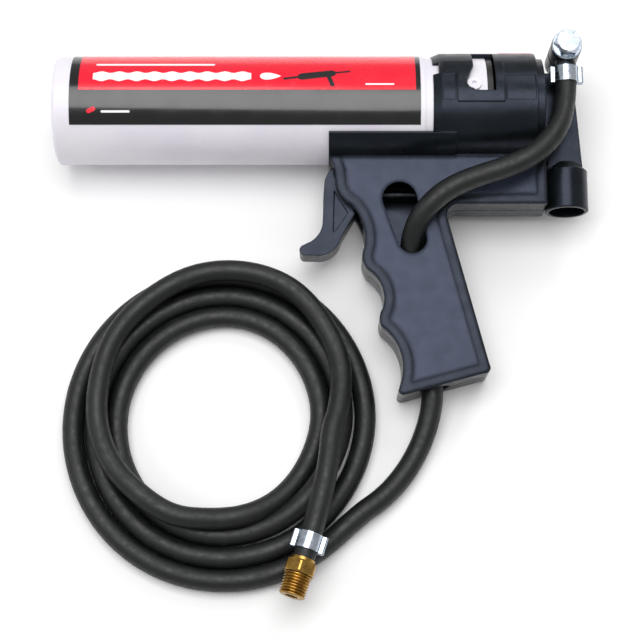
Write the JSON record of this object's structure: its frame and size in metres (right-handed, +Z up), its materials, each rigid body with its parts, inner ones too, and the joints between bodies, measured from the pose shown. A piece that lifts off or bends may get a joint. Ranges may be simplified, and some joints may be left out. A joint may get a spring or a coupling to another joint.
{
  "type": "caulking gun",
  "caption": "Air-powered caulking gun with a bayonet barrel, a sprung trigger on a hollow pistol grip, and a coiled rubber air hose with a brass pipe-thread end.",
  "frame": {"origin": "middle of the gun's footprint on the surface it lies on, without its hose", "axes": "+X along the barrel towards the rear, +Z up from the surface, out of the gun's left side, +Y towards the top of the gun"},
  "size_m": [0.2798, 0.2964, 0.0637],
  "materials": {
    "black_nylon": "moulded, satin",
    "white_plastic": "moulded, satin",
    "label_film": "printed film, gloss",
    "red_film": "printed film, gloss",
    "hose_rubber": "extruded, dull",
    "seal_rubber": "moulded",
    "brass": "turned",
    "zinc_steel": "zinc plated",
    "copper": "stamped",
    "aluminium": "machined",
    "sintered_bronze": "sintered"
  },
  "bodies": {
    "gun": {"receiver": "black_nylon", "head_sticker": "red_film", "exhaust_muffler": "sintered_bronze", "handle_left_shell": "black_nylon", "handle_right_shell": "black_nylon", "handle_screws": "zinc_steel", "cartridge_seal": "seal_rubber", "trigger_pin": "zinc_steel", "valve_body": "aluminium", "valve_spring": "zinc_steel", "valve_plug": "brass", "banjo_fitting": "black_nylon", "banjo_bolt": "zinc_steel", "banjo_washers": "copper", "inlet_clamp": "zinc_steel", "hose_lead": "hose_rubber", "hose_coil": "hose_rubber", "hose_tail": "hose_rubber", "end_clamp": "zinc_steel", "hose_fitting": "brass"},
    "trigger": {"trigger": "black_nylon"},
    "valve": {"push_rod": "zinc_steel", "valve_stem": "brass", "valve_o_rings": "seal_rubber"},
    "barrel_seat": {"barrel_seal": "seal_rubber"},
    "barrel": {"barrel_tube": "white_plastic", "nose_ring": "white_plastic", "barrel_label": "label_film"}
  },
  "joints": [
    {"name": "trigger_pull", "type": "hinge", "parent": "gun", "child": "trigger", "pos_m": [0.01047, 0.02326, 0.02666], "axis": [0, -0.1198, 0.9928], "range_deg": [0, 10], "stiffness_Nm_per_rad": 1.2, "springref_deg": -8.59},
    {"name": "valve_slide", "type": "slide", "parent": "gun", "child": "valve", "axis": [1, 0, 0], "range_m": [0, 0.0019], "deforming": ["valve_spring"]},
    {"name": "barrel_push", "type": "slide", "parent": "gun", "child": "barrel_seat", "axis": [1, 0, 0], "range_m": [0, 0.004]},
    {"name": "barrel_twist", "type": "hinge", "parent": "barrel_seat", "child": "barrel", "pos_m": [-0.04433, 0.0593, 0.03101], "axis": [-1, 0, 0], "range_deg": [0, 20.1]}
  ],
  "couplings": [
    {"joint": "valve_slide", "follows": "trigger_pull", "m_per_rad": 0.0105},
    {"joint": "barrel_twist", "follows": "barrel_push", "rad_per_m": 87.266}
  ]
}
